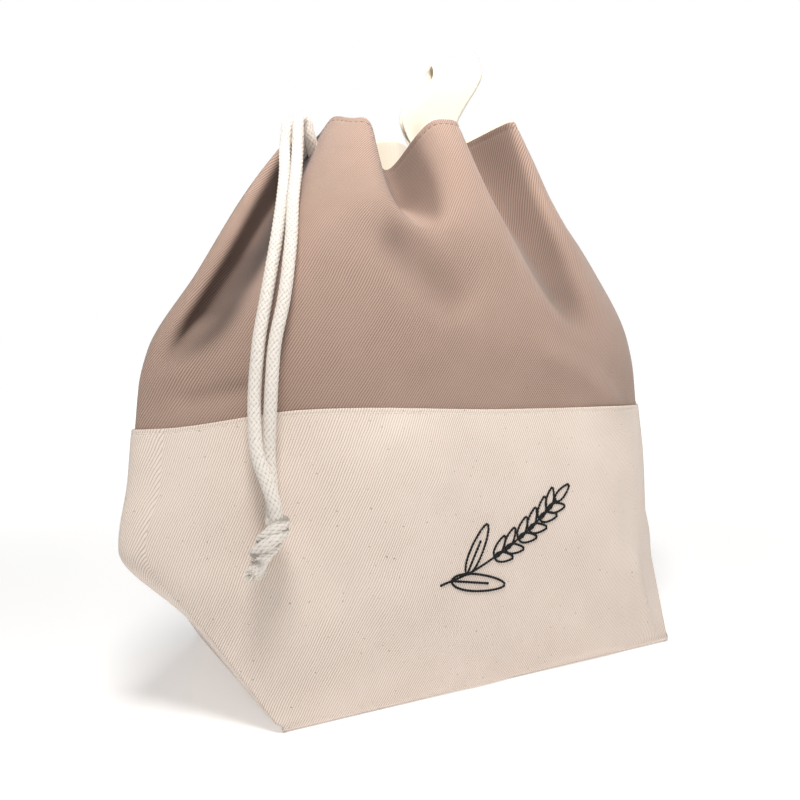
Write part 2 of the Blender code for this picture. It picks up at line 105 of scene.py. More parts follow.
# The surround is brightest round one direction, a softbox overhead, and dims away from it.
SOFTBOX = unit(np.array([0.05, -0.15, 1.0]))
heading = node(sky, "ShaderNodeTexCoord").outputs["Generated"]
facing = node(sky, "ShaderNodeVectorMath", {"operation": "DOT_PRODUCT"}, in_0=heading, in_1=SOFTBOX)
lobe = sum_of(sky, "POWER", sum_of(sky, "MAXIMUM", facing.outputs["Value"], 0.0), 3.0)
lit = sum_of(sky, "MULTIPLY_ADD", lobe, 0.5, 0.08)
seen = node(sky, "ShaderNodeLightPath").outputs["Is Camera Ray"]
brightness = sum_of(sky, "MAXIMUM", seen, lit)
sky.nodes["Background"].inputs["Color"].default_value = (1.0, 1.0, 1.0, 1.0)
sky.links.new(brightness, sky.nodes["Background"].inputs["Strength"])

floor_mesh = bpy.data.meshes.new("floor")
floor_mesh.from_pydata([(-3, -3, 0), (3, -3, 0), (3, 3, 0), (-3, 3, 0)], [], [(0, 1, 2, 3)])
floor = bpy.data.objects.new("floor", floor_mesh)
scene.collection.objects.link(floor)
pale = bpy.data.materials.new("pale_floor")
pale.use_nodes = True
ground = pale.node_tree
matt = ground.nodes["Principled BSDF"]
matt.inputs["Base Color"].default_value = (0.93, 0.93, 0.93, 1)
matt.inputs["Roughness"].default_value = 0.9
matt.inputs["Emission Color"].default_value = (1.0, 1.0, 1.0, 1)
# The floor glows a little beyond the lamp's reach, so it stays as white as the surround.
middle = node(ground, "ShaderNodeVectorMath", {"operation": "LENGTH"},
              in_0=node(ground, "ShaderNodeTexCoord").outputs["Object"])
glow = node(ground, "ShaderNodeMapRange", {"interpolation_type": "SMOOTHSTEP"},
            Value=middle.outputs["Value"], in_1=0.15, in_2=0.9, in_3=0.34, in_4=0.88)
ground.links.new(glow.outputs[0], matt.inputs["Emission Strength"])
floor_mesh.materials.append(pale)

# ---------------------------------------------------------------- drawstring
# Two strands of a 5.5 mm cotton cord, braided from sixteen yarns, come out of the channel in
# the left valley of the mouth, hang down the front and meet in the knot.
MM = 0.001
CORD_RADIUS = 2.75 * MM
CORD_SIDES = 48             # of the mesh round the cord, and its step along it
CORD_STEP = 0.4 * MM
YARNS = 8                   # yarns running each way round the cord
BRAID_PITCH = 5.4 * MM      # along the cord for one yarn spacing round it
COTTON_COLOUR, COTTON_FURROW = (0.81, 0.75, 0.685), (0.34, 0.30, 0.26)
# The middle line of each strand from the fold down to the knot, in millimetres.
STRANDS = dict(
    cord_left=[(-68, 13.5, 249), (-70.5, 8.5, 256.5), (-74.5, 7, 263.8), (-79.5, 4.5, 262.5),
               (-82, 2, 252), (-86, -8, 238), (-92, -20, 222), (-101, -35, 199),
               (-108.5, -44.5, 177), (-114, -49.5, 156), (-117, -53, 134), (-118.5, -59.5, 116),
               (-116.2, -65.8, 103), (-114.4, -68.9, 94), (-113.6, -68.6, 86.5)],
    cord_right=[(-66, 5, 250), (-69.8, 0.6, 257.5), (-73.7, -1.5, 264.8), (-77.5, -4, 263),
                (-79, -6.5, 251), (-83, -15, 238), (-89, -26, 223), (-96, -40, 199),
                (-102, -48, 177), (-108, -52, 156), (-111, -55.5, 134), (-112.3, -56.5, 116),
                (-112.8, -59.6, 103), (-113.4, -63.4, 94), (-114.8, -66.4, 86.5)])


def smooth(x):
    """Zero below 0, one above 1, with a level start and end."""
    x = np.clip(x, 0.0, 1.0)
    return x * x * (3.0 - 2.0 * x)


def along_rows(values, rows):
    """Values at whole rows (first axis) read between them by a cubic that never overshoots."""
    step = np.diff(values, axis=0)
    same = step[1:] * step[:-1] > 0
    with np.errstate(divide="ignore", invalid="ignore"):
        inner = np.where(same, 2 * step[1:] * step[:-1] / (step[1:] + step[:-1]), 0.0)
    slope = np.concatenate([step[:1], inner, step[-1:]])
    low = np.clip(np.floor(rows).astype(int), 0, len(values) - 2)
    f = (rows - low).reshape(-1, *[1] * (values.ndim - 1))
    a, b, m, n = values[low], values[low + 1], slope[low], slope[low + 1]
    return (a * (1 + 2 * f) * (1 - f) ** 2 + m * f * (1 - f) ** 2
            + b * f * f * (3 - 2 * f) + n * f * f * (f - 1))


def spaced(points, step):
    """A curve through a few points in millimetres, as points in metres, evenly a step apart."""
    dense = np.linspace(0, len(points) - 1, 40 * len(points))
    fine = along_rows(np.array(points, float) * MM, dense)
    run = np.append(0, np.cumsum(np.linalg.norm(np.diff(fine, axis=0), axis=1)))
    at = np.linspace(0, run[-1], int(round(run[-1] / step)) + 1)
    return np.stack([np.interp(at, run, fine[:, axis]) for axis in range(3)], axis=1)


def tube(line, radius, sides, level=(0, 1, 0)):
    """Rings round a line: at each point radius times the cosine along one direction square to
    the line and to level, plus radius times the sine along the other."""
    ahead = unit(np.gradient(line, axis=0))
    side = unit(np.cross(ahead, level))
    front = np.cross(ahead, side)
    turn = np.linspace(0, 2 * np.pi, sides, endpoint=False)[None, :, None]
    ring = side[:, None] * np.cos(turn) + front[:, None] * np.sin(turn)
    return line[:, None] + ring * np.reshape(radius, (len(line), -1, 1))


def squares(rows, columns, rows_meet=False, columns_meet=True):
    """The squares of a grid whose point (row, column) has number row * columns + column."""
    row, column = np.meshgrid(np.arange(rows - (not rows_meet)),
                              np.arange(columns - (not columns_meet)), indexing="ij")
    above, beside = (row + 1) % rows, (column + 1) % columns
    corners = [row * columns + column, row * columns + beside,
               above * columns + beside, above * columns + column]
    return np.stack(corners, axis=-1).reshape(-1, 4)


def piece_of(name, points, faces, finish, uv=None, shade=None):
    """A mesh object from points and faces.  uv has one row for each face corner, in metres;
    shade is a value from 0 to 1 for each point, kept as the attribute furrow."""
    mesh = bpy.data.meshes.new(name)
    mesh.from_pydata(points.reshape(-1, 3).tolist(), [], [list(face) for face in faces])
    if uv is not None:
        mesh.uv_layers.new(name="cloth").data.foreach_set("uv", uv.reshape(-1).astype(np.float32))
    if shade is not None:
        furrow = mesh.attributes.new("furrow", "FLOAT", "POINT")
        furrow.data.foreach_set("value", shade.reshape(-1).astype(np.float32))
    mesh.shade_smooth()
    mesh.materials.append(finish)
    made = bpy.data.objects.new(name, mesh)
    scene.collection.objects.link(made)
    return made


def tube_faces(rings, sides, count=1):
    """The squares round each of a count of tubes, one after another, and a face over each end."""
    first = np.arange(count)[:, None, None] * rings * sides
    walls = (squares(rings, sides) + first).reshape(-1, 4)
    ends = np.arange(sides) + first[:, 0]
    return walls.tolist() + ends[:, ::-1].tolist() + (ends + (rings - 1) * sides).tolist()


def braid(rings, sides, length):
    """How high the yarns stand over a braided tube, 0 in the furrows to 1 on their crowns.

    Two families of yarns wind opposite ways.  Each square between them belongs to one family
    in a checkerboard, and stands as a half round across its yarn and a low arch along it.
    """
    turn = np.linspace(0, 1, sides, endpoint=False)[None, :] * YARNS
    up = np.linspace(0, length / BRAID_PITCH * 2, rings)[:, None]
    one, other = turn + up, turn - up
    over = (np.floor(one) + np.floor(other)) % 2 == 0
    across = np.where(over, one, other) % 1.0
    along = np.where(over, other, one) % 1.0
    return np.sqrt(np.sin(np.pi * across)) * (0.55 + 0.45 * np.sin(np.pi * along))


def ramped(tree, tone, dark, dark_at, pale, pale_at):
    """A tone turned into colour: dark up to one value, pale from another, a mix between."""
    ramp = node(tree, "ShaderNodeValToRGB", Fac=tone)
    stops = ramp.color_ramp.elements
    stops[0].color, stops[0].position = (*dark, 1), dark_at
    stops[1].color, stops[1].position = (*pale, 1), pale_at
    return ramp.outputs["Color"]


def fibre_finish(name, colour, dark, grain, sheen=0.2):
    """Cotton yarn: darker where the attribute furrow is low, with fine fibres in its surface."""
    made = bpy.data.materials.new(name)
    made.use_nodes = True
    tree = made.node_tree
    shader = tree.nodes["Principled BSDF"]
    place = node(tree, "ShaderNodeTexCoord").outputs["Object"]
    fibres = node(tree, "ShaderNodeTexNoise", Vector=place, Scale=grain, Detail=3.0, Roughness=0.7)
    depth = node(tree, "ShaderNodeAttribute", {"attribute_name": "furrow"}).outputs["Fac"]
    tone = sum_of(tree, "MULTIPLY_ADD", fibres.outputs["Fac"], 0.9,
                  sum_of(tree, "SUBTRACT", depth, 0.45))
    bump = node(tree, "ShaderNodeBump", Strength=0.6, Distance=0.12 * MM,
                Height=fibres.outputs["Fac"])
    tree.links.new(ramped(tree, tone, dark, 0.05, colour, 0.62), shader.inputs["Base Color"])
    tree.links.new(bump.outputs["Normal"], shader.inputs["Normal"])
    shader.inputs["Roughness"].default_value = 0.95
    shader.inputs["Sheen Weight"].default_value = sheen
    return made


cord_cotton = fibre_finish("cord_cotton", COTTON_COLOUR, COTTON_FURROW, 1900.0)
for name, route in STRANDS.items():
    line = spaced(route, CORD_STEP)
    length = float(np.linalg.norm(np.diff(line, axis=0), axis=1).sum())
    high = braid(len(line), CORD_SIDES, length)
    strand = piece_of(name + "_braid", tube(line, CORD_RADIUS * (0.86 + 0.17 * high), CORD_SIDES),
                      tube_faces(len(line), CORD_SIDES), cord_cotton, shade=high)
    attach(strand, "root")
    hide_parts(name)

# ---------------------------------------------------------------- knot
# Both strands are tied together in one knot: the cord is wound aslant round a core, and below
# it are the two short cut ends, frayed out into yarns.
WRAP_RADIUS = 2.5 * MM      # of the cord, drawn tight
WRAP_TURNS = (-0.1, 2.3)    # where the winding starts and ends
WRAP_TOP, WRAP_BOTTOM = (-113.3, -67.6, 86.8), (-118.9, -67.8, 75.6)
WRAP_REACH = 5.5 * MM       # from the knot's middle to the middle of the cord
KNOT_TURN = np.radians(28.7)    # how far round to the left the knot hangs from facing front
# The two directions that the winding swings between: across the knot, rising, and behind it.
WRAP_LEAN = np.array([np.cos(KNOT_TURN) * 0.87, -np.sin(KNOT_TURN) * 0.6, 0.48])
WRAP_BACK = np.array([0.42, 0.88, -0.12])
CORE_RADIUS = 3.9 * MM
CORE = [(-113.8, -67.6, 88.4), (-114.6, -67.6, 85), (-117, -67.8, 79), (-118.6, -67.6, 75.2)]
TAIL_SIDES, TAIL_STEP = 24, 0.3     # of their mesh, the step in millimetres
TAILS = [[(-117.2, -68.4, 77.5), (-118.6, -69.2, 75.0), (-120.6, -68.8, 72.2),
          (-122.6, -67.6, 69.4)],
         [(-116.6, -66.4, 77.2), (-117.8, -66.4, 74.6), (-119.0, -66.0, 72.0),
          (-120.8, -65.6, 69.6)]]
YARN_COUNT, YARN_STEPS, YARN_SIDES = 90, 9, 5   # frayed from each tail, and the mesh of each
YARN_RADIUS = 0.2 * MM
parts, faces, shades = [], [], []


def tie_in(grid, corners, high):
    """Adds tubes to the knot's mesh: their points, their faces and how high their yarns stand,
    lowered where shade is painted in.
    """
    first = sum(len(part) for part in parts)
    faces.extend([corner + first for corner in face] for face in corners)
    parts.append(grid.reshape(-1, 3))
    shades.append(high.reshape(-1))


# The winding is a middle line from top to bottom, plus its reach, less at both ends, times the
# lean's direction by the cosine of the turn less the back's direction by its sine.
turns = np.linspace(*WRAP_TURNS, 190)[:, None]
share = (turns - turns[0]) / (turns[-1] - turns[0])
middle = np.array(WRAP_TOP) * MM * (1 - share) + np.array(WRAP_BOTTOM) * MM * share
reach = WRAP_REACH * np.sin(np.pi * np.clip(share * 0.9 + 0.05, 0, 1)) ** 0.35
spin = 2 * np.pi * turns
wrap_line = middle + reach * (np.cos(spin) * unit(WRAP_LEAN) - np.sin(spin) * unit(WRAP_BACK))
wrap_length = float(np.linalg.norm(np.diff(wrap_line, axis=0), axis=1).sum())
high = braid(len(wrap_line), CORD_SIDES, wrap_length)
wraps = tube(wrap_line, WRAP_RADIUS * (0.88 + 0.16 * high), CORD_SIDES, (0.3, 0.2, 1.0))
# Painted shade where one turn of the cord lies on the next: the yarns' height in the attribute
# furrow is lowered there, which darkens their colour; the mesh keeps its full yarns.
touching = np.abs(unit(wraps - wrap_line[:, None]) @ unit(middle[-1] - middle[0]))
high = high * (1 - 0.95 * smooth((touching - 0.4) / 0.4))
tie_in(wraps, tube_faces(len(wrap_line), CORD_SIDES), high)

core_line = spaced(CORE, CORD_STEP)
high = braid(len(core_line), CORD_SIDES, len(core_line) * CORD_STEP)
swell = CORE_RADIUS * np.sin(np.pi * (0.06 + 0.88 * np.linspace(0, 1, len(core_line)))) ** 0.5
core = tube(core_line, swell[:, None] * (0.9 + 0.12 * high), CORD_SIDES)
tie_in(core, tube_faces(len(core_line), CORD_SIDES), high)

tails = [spaced(tail, TAIL_STEP * MM) for tail in TAILS]
for line in tails:
    high = braid(len(line), TAIL_SIDES, len(line) * TAIL_STEP * MM)
    swell = 2.3 + 0.5 * smooth(np.linspace(-1, 1, len(line)))
    tail = tube(line, swell[:, None] * MM * (0.86 + 0.17 * high), TAIL_SIDES)
    tie_in(tail, tube_faces(len(line), TAIL_SIDES), high)

# Frayed yarns: each leaves the cut end within its radius, and runs straight out along its own
# direction plus a sine curl that grows along it, thinning to its tip.
chance = np.random.default_rng(7)
share = np.linspace(0, 1, YARN_STEPS)[None, :, None]
turn = np.linspace(0, 2 * np.pi, YARN_SIDES, endpoint=False)[:, None]
for line in tails:
    ahead = unit(line[-1] - line[-6])
    root = line[-1] - ahead * 0.8 * MM + chance.normal(0, 0.95 * MM, (YARN_COUNT, 1, 3))
    spread = unit(root - line[-1] + ahead * 3.2 * MM
                  + chance.normal(0, 0.5 * MM, (YARN_COUNT, 1, 3)))
    reach = chance.uniform(2.4, 4.4, (YARN_COUNT, 1, 1)) * MM
    curl = chance.normal(0, 0.7 * MM, (YARN_COUNT, 1, 3)) * np.sin(share * 3.4)
    yarns = root + spread * reach * share + curl * share
    yarn_ahead = unit(np.gradient(yarns, axis=1))
    side = unit(np.cross(yarn_ahead, (0.3, 1.0, 0.2)))
    front = np.cross(yarn_ahead, side)
    thick = YARN_RADIUS * (1 - 0.6 * share[..., None] ** 3)
    ring = side[:, :, None] * np.cos(turn) + front[:, :, None] * np.sin(turn)
    rings = yarns[:, :, None] + thick * ring
    corners = tube_faces(YARN_STEPS, YARN_SIDES, YARN_COUNT)
    tie_in(rings, corners, np.full(rings.shape[:-1], 0.85))
knot = piece_of("knot", np.concatenate(parts), faces, cord_cotton, shade=np.concatenate(shades))
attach(knot, "root")
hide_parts("cord_knot")

# ---------------------------------------------------------------- lower cloth
# Cream twill in one piece, doubled over to the inside: it makes the base, with its boxed
# corners, and the wall up to a folded edge, which is topstitched over the taupe panels.
CLOTH = 1.0 * MM            # a doubled twill, and the cotton facing
HEM_ROUND = 0.35 * MM       # how far a folded edge stands out as a half round
SEAM_ROW = 4.0              # where the cream cloth ends, its folded edge sewn down
RIM_HEIGHT = 265            # of the mouth, in millimetres
BASE_ROUND = 3 * MM         # turn of the cloth where wall meets base
FINE = 4                    # columns of the mesh to each counted in COLUMNS
ROUNDING = 32               # passes of rounding across the folds
ROUNDED_FROM, ROUNDED_OVER = 140, 60    # height where that begins, and over how much, in mm
TURN_RISE = 0.6             # how far the cloth beside a side seam has risen to its shoulder
SIDE_SHARE = 1 / 12         # of the way round that still counts as front beyond the side seam
GATHER_START = 0.25         # share of a gather's run over which it opens from its foot
PAST_RIM = 1.1              # how far above the rim a gather still grows, as a share of its run
WIDTH_FADE = 0.7            # how soon a gather reaches its width at the rim
DROP_FROM = 0.2             # share of a gather's run where the rim's drop begins
CREASE_FADE = 0.35          # share of a crease's length over which each end dies away
CREASE_SPREAD = 2.0         # how fast a crease falls off sideways, by its half width
WING_ROW = 2                # row of SECTIONS where the boxed corner's folds reach the side
BASE_CORNERS = dict(left_front=(-110, -64, 0), left_back=(-110, 67, 0),
                    right_front=(107, -64, 0), right_back=(107, 67, 0))
# One row for each level, in millimetres: left and right are the side seams, front and back the
# middles, and the rest the shoulders between them.  turn is half the thickness of the side
# where the front and back cloths meet; sharp is how square the boxed corners are there; rise,
# where given, stands for TURN_RISE.
SECTIONS = [
    dict(name="floor", turn=9, sharp=1.0, left=(-110, 3, 0), front_left=(-80, -64, 0),
         front=(0, -64, 0), front_right=(84, -64, 0), right=(107, 3, 0),
         back_right=(80, 67, 0), back=(0, 67, 0), back_left=(-80, 67, 0)),
    dict(name="knee", turn=9, sharp=0.7, left=(-135, -11, 37), front_left=(-92, -65, 37),
         front=(0, -67, 36), front_right=(86, -61, 32), right=(136, 9, 30),
         back_right=(90, 65, 34), back=(0, 70, 36), back_left=(-92, 63, 37)),
    dict(name="wing", turn=9, sharp=0.2, left=(-166, -25, 74), front_left=(-104, -62, 74),
         front=(0, -68, 71), front_right=(87, -58, 66), right=(165, 15, 60),
         back_right=(96, 59, 67), back=(0, 70, 72), back_left=(-104, 53, 74)),
    dict(name="band", turn=11, sharp=0.0, left=(-161, -19, 100), front_left=(-106, -58, 100),
         front=(0, -66, 100), front_right=(89, -54, 98), right=(166, 18, 93),
         back_right=(98, 57, 97), back=(0, 67, 100), back_left=(-102, 51, 100)),
    dict(name="seam", turn=11, rise=0.1, sharp=0.0, left=(-158, -15, 122),
         front_left=(-103, -53, 130), front=(0, -63, 128), front_right=(90, -50, 126),
         right=(163, 20, 122), back_right=(96, 55, 126), back=(0, 64, 127),
         back_left=(-98, 50, 126)),
    dict(name="chest", turn=12, sharp=0.0, left=(-150, -9, 155), front_left=(-98, -49, 160),
         front=(0, -59, 163), front_right=(86, -46, 161), right=(153, 20, 152),
         back_right=(90, 53, 158), back=(0, 62, 163), back_left=(-92, 50, 160)),
    dict(name="shoulder", turn=13, sharp=0.0, left=(-127, 0, 190), front_left=(-84, -43, 199),
         front=(-2, -52, 203), front_right=(67, -40, 201), right=(128, 20, 188),
         back_right=(78, 52, 196), back=(0, 59, 203), back_left=(-80, 51, 198)),
    dict(name="neck", turn=15, sharp=0.0, left=(-102, 10, 228), front_left=(-68, -33, 236),
         front=(-6, -42, 240), front_right=(46, -31, 240), right=(97, 19, 226),
         back_right=(58, 51, 234), back=(0, 56, 240), back_left=(-62, 51, 236)),
    dict(name="rim", turn=18, sharp=0.0, left=(-80, 15, 258), front_left=(-54, -23, 263),
         front=(-8, -34, 265), front_right=(32, -26, 272), right=(62, 17, 258),
         back_right=(40, 49, 264), back=(-2, 56, 270), back_left=(-46, 51, 266)),
]

# Columns of cloth between one named point and the next, once round from the left side seam.
COLUMNS = [("left", 4), ("left_front_turn", 8), ("front_left", 12), ("front", 11),
           ("front_right", 8), ("right_front_turn", 3), ("right", 3), ("right_back_turn", 5),
           ("back_right", 8), ("back", 8), ("back_left", 5), ("left_back_turn", 3)]
COLUMNS = [(name, count * FINE) for name, count in COLUMNS]

# One row for each valley of the drawn-in mouth, in millimetres.  at: its place along the rim,
# from the middle of its panel; foot: the same where it fades out, at the height foot_z; half
# and foot_half: its half widths; depth at the rim and its heading in degrees from +X; drop:
# how far the rim sinks in it, or stands up where it is below zero; shelf: the height where it
# steps in, over step, and lip: how much higher at its edges; tail: the share that runs on
# below, fading by fade.
GATHERS = [
    dict(name="left side", panel="front", at=-80, foot=-160, foot_z=140, bend=0.9,
         half=(14, 10), foot_half=(15, 32), depth=21, heading=50, drop=1,
         shelf=235, step=50, lip=0, tail=1.0, fade=0.45),
    dict(name="left lobe", panel="front", at=-70, foot=-70, foot_z=220, bend=1,
         half=(8, 20), foot_half=(8, 20), depth=0, heading=90, drop=-6,
         shelf=235, step=40, lip=0, tail=0.5, fade=1),
    dict(name="front left", panel="front", at=-29, foot=-33, foot_z=165, bend=0.8,
         half=(16, 12), foot_half=(24, 50), depth=26, heading=82, drop=25,
         shelf=226, step=24, lip=14, tail=0.14, fade=1.5),
    dict(name="front right", panel="front", at=16, foot=66, foot_z=155, bend=0.5,
         half=(15, 30), foot_half=(12, 30), depth=37, heading=82, drop=6,
         shelf=236, step=40, lip=0, tail=0.9, fade=0.85),
    dict(name="right side", panel="front", at=72, foot=104, foot_z=160, bend=0.8,
         half=(11, 14), foot_half=(26, 26), depth=16, heading=150, drop=6,
         shelf=230, step=40, lip=6, tail=0.5, fade=1.5),
    dict(name="back right", panel="back", at=61, foot=84, foot_z=150, bend=0.8,
         half=(17, 14), foot_half=(30, 26), depth=17, heading=-122, drop=5,
         shelf=228, step=40, lip=8, tail=0.45, fade=1.3),
    dict(name="back middle", panel="back", at=1, foot=8, foot_z=140, bend=0.8,
         half=(15, 17), foot_half=(26, 38), depth=24, heading=-100, drop=0,
         shelf=224, step=50, lip=0, tail=0.6, fade=1.3),
    dict(name="back left", panel="back", at=-32, foot=-46, foot_z=168, bend=0.8,
         half=(13, 14), foot_half=(32, 26), depth=23, heading=-80, drop=8,
         shelf=229, step=30, lip=12, tail=0.3, fade=1.5),
    dict(name="back left side", panel="back", at=-62, foot=-92, foot_z=145, bend=0.7,
         half=(12, 16), foot_half=(22, 30), depth=18, heading=-45, drop=7,
         shelf=226, step=50, lip=0, tail=0.6, fade=1.1),
]

# One row for each fold that stands out (+) of a panel or dents it (-), from start to end, each
# (across from the panel's middle, up), with its height and its half width, in millimetres.
CREASES = [
    dict(name="under the scoop", panel="front", start=(-52, 212), end=(-18, 176), out=-6, half=20),
    dict(name="lower right", panel="front", start=(22, 158), end=(80, 126), out=3, half=11),
    dict(name="left lip", panel="front", start=(-108, 182), end=(-160, 141), out=2.5, half=8),
    dict(name="left pinch", panel="front", start=(-150, 134), end=(-118, 140), out=-2, half=6),
    dict(name="cord side", panel="front", start=(-104, 128), end=(-92, 40), out=-3, half=20),
    dict(name="belly left", panel="front", start=(-60, 122), end=(-36, 92), out=2, half=16),
    dict(name="belly low", panel="front", start=(-66, 54), end=(-2, 12), out=2.5, half=22),
    dict(name="seam pucker", panel="front", start=(-42, 122), end=(-30, 84), out=1.2, half=9),
    dict(name="right slack", panel="front", start=(66, 118), end=(90, 62), out=-1.6, half=13),
    dict(name="left slack", panel="front", start=(-92, 66), end=(-58, 12), out=-1.8, half=15),
    dict(name="corner pull", panel="front", start=(84, 50), end=(101, 8), out=2, half=8),
    dict(name="back slant", panel="back", start=(60, 168), end=(104, 128), out=3, half=12),
    dict(name="back slack", panel="back", start=(-70, 150), end=(-20, 96), out=-3, half=22),
    dict(name="back foot", panel="back", start=(30, 88), end=(70, 20), out=-3, half=20),
]


def section_points(row):
    """The twelve named points of one section, in metres, once round from the left side seam.

    A turn lies off its side seam by the row's turn, inwards and towards its face, and has risen
    a share of the way to its shoulder; below the wing it lies instead on the straight fold from
    the base corner to the wing's own turn.
    """
    turn, rise = row["turn"], min(row["left"][2] / SECTIONS[WING_ROW]["left"][2], 1.0)
    named = []
    for name, _ in COLUMNS:
        if name in row:
            named.append(row[name])
            continue
        side, face, _ = name.split("_")
        inward, ahead = (1 if side == "left" else -1), (-1 if face == "front" else 1)
        seam = np.array(row[side], float)
        rise_on = row.get("rise", TURN_RISE) * (row[f"{face}_{side}"][2] - seam[2])
        place = seam + np.array([inward * turn, ahead * turn, rise_on])
        if rise < 1.0:
            top = np.array(SECTIONS[WING_ROW][side], float)
            top += np.array([inward * turn, ahead * turn, 0.0])
            foot = np.array(BASE_CORNERS[f"{side}_{face}"], float)
            place = foot + (top - foot) * seam[2] / SECTIONS[WING_ROW][side][2]
        named.append(place)
    return np.array(named, float) * MM


def around(points, square, counts):
    """Closed curves through points (rows x named x 3), with counts steps between neighbours.

    Each stretch is a cubic whose end directions are the mean of its neighbours' chords,
    weighted by length; a square point keeps its own chords, so it stays a corner.
    """
    chord = np.roll(points, -1, axis=1) - points
    length = np.linalg.norm(chord, axis=2, keepdims=True)
    ahead, behind = chord / length, np.roll(chord / length, 1, axis=1)
    before = np.roll(length, 1, axis=1)
    mean = (ahead * before + behind * length) / (before + length)
    leave = mean + (ahead - mean) * square
    arrive = mean + (behind - mean) * square
    curve = []
    for k, count in enumerate(counts):
        f = (np.arange(count) / count)[None, :, None]
        a, b = points[:, k, None], np.roll(points, -1, axis=1)[:, k, None]
        m = (leave[:, k] * length[:, k])[:, None]
        n = (np.roll(arrive, -1, axis=1)[:, k] * length[:, k])[:, None]
        curve.append(a * (1 + 2 * f) * (1 - f) ** 2 + m * f * (1 - f) ** 2
                     + b * f * f * (3 - 2 * f) + n * f * f * (f - 1))
    return np.concatenate(curve, axis=1)


def run_of(grid):
    """The direction round the bag at each point: halfway between its two neighbours' own."""
    ahead = unit(np.roll(grid, -1, axis=1) - grid)
    return ahead + np.roll(ahead, 1, axis=1)


def plan_normal(grid):
    """Level unit vectors across the rows of a closed grid, pointing out of the bag."""
    run = run_of(grid)
    return unit(np.stack([run[..., 1], -run[..., 0], np.zeros(run.shape[:2])], axis=2))


def column_of(name):
    """The column where a named point of the sections stands."""
    return sum(count for _, count in COLUMNS[:[n for n, _ in COLUMNS].index(name)])


def run_round(grid):
    """Distance round each row from its first point to each point, and last the whole round."""
    step = np.linalg.norm(np.roll(grid, -1, axis=1) - grid, axis=2)
    return np.concatenate([np.zeros((len(grid), 1)), np.cumsum(step, axis=1)], axis=1)


def measured_across(grid):
    """Distance round each row from the middle of the front and of the back panel."""
    run = run_round(grid)
    front = run[:, :-1] - run[:, column_of("front")][:, None]
    back = run[:, column_of("back")][:, None] - run[:, :-1]
    left_half = run[:, -1:] - run[:, :-1] < run[:, -1:] * SIDE_SHARE
    return np.where(left_half, front - run[:, -1:], front), back


def gathered(across_front, across_back, height):
    """How far each point of the cloth moves in and down by the valleys of the mouth.

    It is the sum of each valley's depth, along its heading, times a share that grows with the
    height, times one less a smooth step of the distance from the valley's middle line over its
    half width; the drop has the same step across and its own smooth step up.
    """
    moved = np.zeros((*height.shape, 3))
    for fold in GATHERS:
        front = fold["panel"] == "front"
        across = across_front if front else across_back
        up = (height / MM - fold["foot_z"]) / (RIM_HEIGHT - fold["foot_z"])
        up = np.clip(up, 0, PAST_RIM)
        beside = across / MM - fold["foot"] - (fold["at"] - fold["foot"]) * up ** fold["bend"]
        side = (beside > 0).astype(int)
        half, foot_half = np.array(fold["half"])[side], np.array(fold["foot_half"])[side]
        q = np.clip(np.abs(beside) / (foot_half + (half - foot_half) * up ** WIDTH_FADE), 0, 1)
        shape = 1 - smooth(q)
        shelf = fold["shelf"] + fold["lip"] * q * q
        step_in = smooth((height / MM - shelf) / fold["step"] + 0.5)
        run_on = up ** fold["fade"] * smooth(up / GATHER_START)
        share = fold["tail"] * run_on + (1 - fold["tail"]) * step_in
        square_on = 90 if front else -90
        heading = np.radians(square_on + (fold["heading"] - square_on) * up)
        deep = fold["depth"] * MM * share * shape
        moved[..., 0] += deep * np.cos(heading)
        moved[..., 1] += deep * np.sin(heading)
        moved[..., 2] -= fold["drop"] * MM * shape * smooth((up - DROP_FROM) / (1 - DROP_FROM))
    return moved


def creased(across_front, across_back, height):
    """How far each point stands out of the bag by the creases.

    It is the sum of each crease's height times e to the minus CREASE_SPREAD times the square of
    the distance from its line in half widths, times a smooth step at each of its ends.
    """
    raised = np.zeros(height.shape)
    for fold in CREASES:
        across = across_front if fold["panel"] == "front" else across_back
        start, end = np.array(fold["start"], float), np.array(fold["end"], float)
        run = end - start
        long = np.linalg.norm(run)
        right, up = across / MM - start[0], height / MM - start[1]
        along = (right * run[0] + up * run[1]) / long ** 2
        aside = (right * run[1] - up * run[0]) / long / fold["half"]
        ends = smooth(along / CREASE_FADE + 0.5) * smooth((1 - along) / CREASE_FADE + 0.5)
        raised += fold["out"] * MM * np.exp(-aside ** 2 * CREASE_SPREAD) * ends
    return raised


def rounded(grid, height):
    """The grid with its folds above the band softened across, as a cloth's thickness does:
    time after time, each point goes some way to half itself and a quarter each neighbour."""
    share = smooth((height / MM - ROUNDED_FROM) / ROUNDED_OVER)[..., None]
    for _ in range(ROUNDING):
        mean = (np.roll(grid, 1, axis=1) + 2 * grid + np.roll(grid, -1, axis=1)) / 4
        grid = grid + (mean - grid) * share
    return grid


def bag_cloth(rows):
    """The outermost face of the bag's cloth, a grid of points: rows up, columns round.  It is
    the curves round through the sections, plus the creases along their level normals, plus the
    moves of the gathers, then rounded."""
    named = along_rows(np.array([section_points(row) for row in SECTIONS]), rows)
    sharp = along_rows(np.array([[row["sharp"]] for row in SECTIONS]), rows)
    turned = np.array(["turn" in name for name, _ in COLUMNS])
    square = (sharp * turned)[..., None]
    grid = around(named, square, [count for _, count in COLUMNS])
    front, back = measured_across(grid)
    raised = creased(front, back, grid[..., 2])[..., None] * plan_normal(grid)
    return rounded(grid + raised + gathered(front, back, grid[..., 2]), grid[..., 2])


def outward(grid):
    """Unit vectors square to a closed grid's surface, out of the bag."""
    return unit(np.cross(run_of(grid), np.gradient(grid, axis=0)))


def set_in(grid, distance):
    """The grid moved into the bag by a distance for each row, square to its own surface."""
    return grid - outward(grid) * np.reshape(distance, (-1, 1, 1))


LEFT, RIGHT = 0, column_of("right")
ALL = LEFT + sum(count for _, count in COLUMNS)


def rows_of(*stretches):
    """Row numbers from stretches of (start, end, count), each without its end."""
    return np.concatenate([np.linspace(a, b, n, endpoint=False) for a, b, n in stretches])


